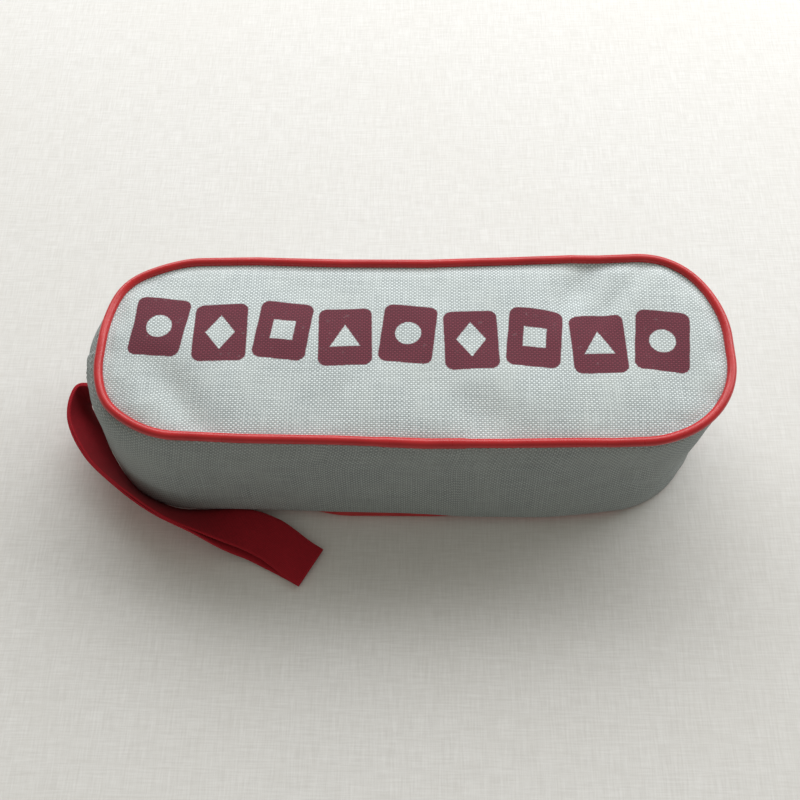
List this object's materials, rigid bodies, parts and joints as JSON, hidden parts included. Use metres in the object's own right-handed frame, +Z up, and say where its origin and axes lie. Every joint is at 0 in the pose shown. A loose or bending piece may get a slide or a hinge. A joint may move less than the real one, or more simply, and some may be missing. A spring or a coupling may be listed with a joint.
{
  "type": "travel tile game pouch",
  "caption": "Oblong zipped fabric pouch with piped edges and a wrist strap, holding tile racks with plug-in legs and a packed set of number tiles.",
  "frame": {"origin": "middle of the flat base, where the pouch stands", "axes": "+X along the length to the right of the front view, +Y to the back where the zip runs, +Z up; the strap is at the -X end"},
  "size_m": [0.2834, 0.1292, 0.062],
  "materials": {
    "panel_cloth": "fine canvas with a soft sheen",
    "gusset_cloth": "fine canvas",
    "base_cloth": "fine canvas",
    "piping": "satin bias tape over a cord",
    "strap_webbing": "ribbed webbing",
    "zip_tape": "woven tape",
    "zip_teeth": "moulded",
    "zip_metal": "satin",
    "slider_metal": "enamelled",
    "pull_metal": "enamelled",
    "rack_plastic": "satin moulded",
    "tile_plastic": "polished melamine"
  },
  "bodies": {
    "bag": {"bottom_panel": "base_cloth", "bottom_piping": "piping", "front_gusset": "gusset_cloth", "rear_lower_band": "gusset_cloth", "top_panel_front": "panel_cloth", "top_piping_front": "piping", "zip_tape_lower": "zip_tape", "zip_teeth_lower": "zip_teeth", "zip_bottom_stop": "zip_metal", "zip_top_stop": "zip_metal", "rack_1": "rack_plastic", "rack_2": "rack_plastic", "rack_3": "rack_plastic", "rack_4": "rack_plastic", "rack_legs_front": "rack_plastic", "rack_legs_rear": "rack_plastic", "tiles_black_set_1": "tile_plastic", "tiles_red_set_1": "tile_plastic", "tiles_blue_set_1": "tile_plastic", "tiles_orange_set_1": "tile_plastic", "tiles_black_set_2": "tile_plastic", "tiles_red_set_2": "tile_plastic", "tiles_blue_set_2": "tile_plastic", "tiles_orange_set_2": "tile_plastic", "tiles_joker": "tile_plastic"},
    "lid": {"top_panel_flap": "panel_cloth", "top_piping_flap": "piping", "rear_upper_band": "gusset_cloth", "zip_tape_upper": "zip_tape", "zip_teeth_upper": "zip_teeth"},
    "slider": {"zip_slider": "slider_metal"},
    "pull": {"pull_tab": "pull_metal"},
    "strap": {"wrist_strap": "strap_webbing"}
  },
  "joints": [
    {"name": "lid_fold", "type": "hinge", "parent": "bag", "child": "lid", "pos_m": [0, 0.004, 0.062], "axis": [1, 0, 0], "range_deg": [0, 120], "deforming": ["zip_tape_upper", "zip_teeth_upper"]},
    {"name": "zip_run", "type": "slide", "parent": "bag", "child": "slider", "axis": [-1, 0, 0], "range_m": [0, 0.17], "deforming": ["zip_teeth_lower"]},
    {"name": "pull_swing", "type": "hinge", "parent": "slider", "child": "pull", "pos_m": [0.085, 0.04613, 0.042], "axis": [1, 0, 0], "range_deg": [0, 170]},
    {"name": "strap_swing", "type": "hinge", "parent": "bag", "child": "strap", "pos_m": [-0.133, 0.0032, 0.0152], "axis": [0, 0, -1], "range_deg": [0, 60]}
  ]
}
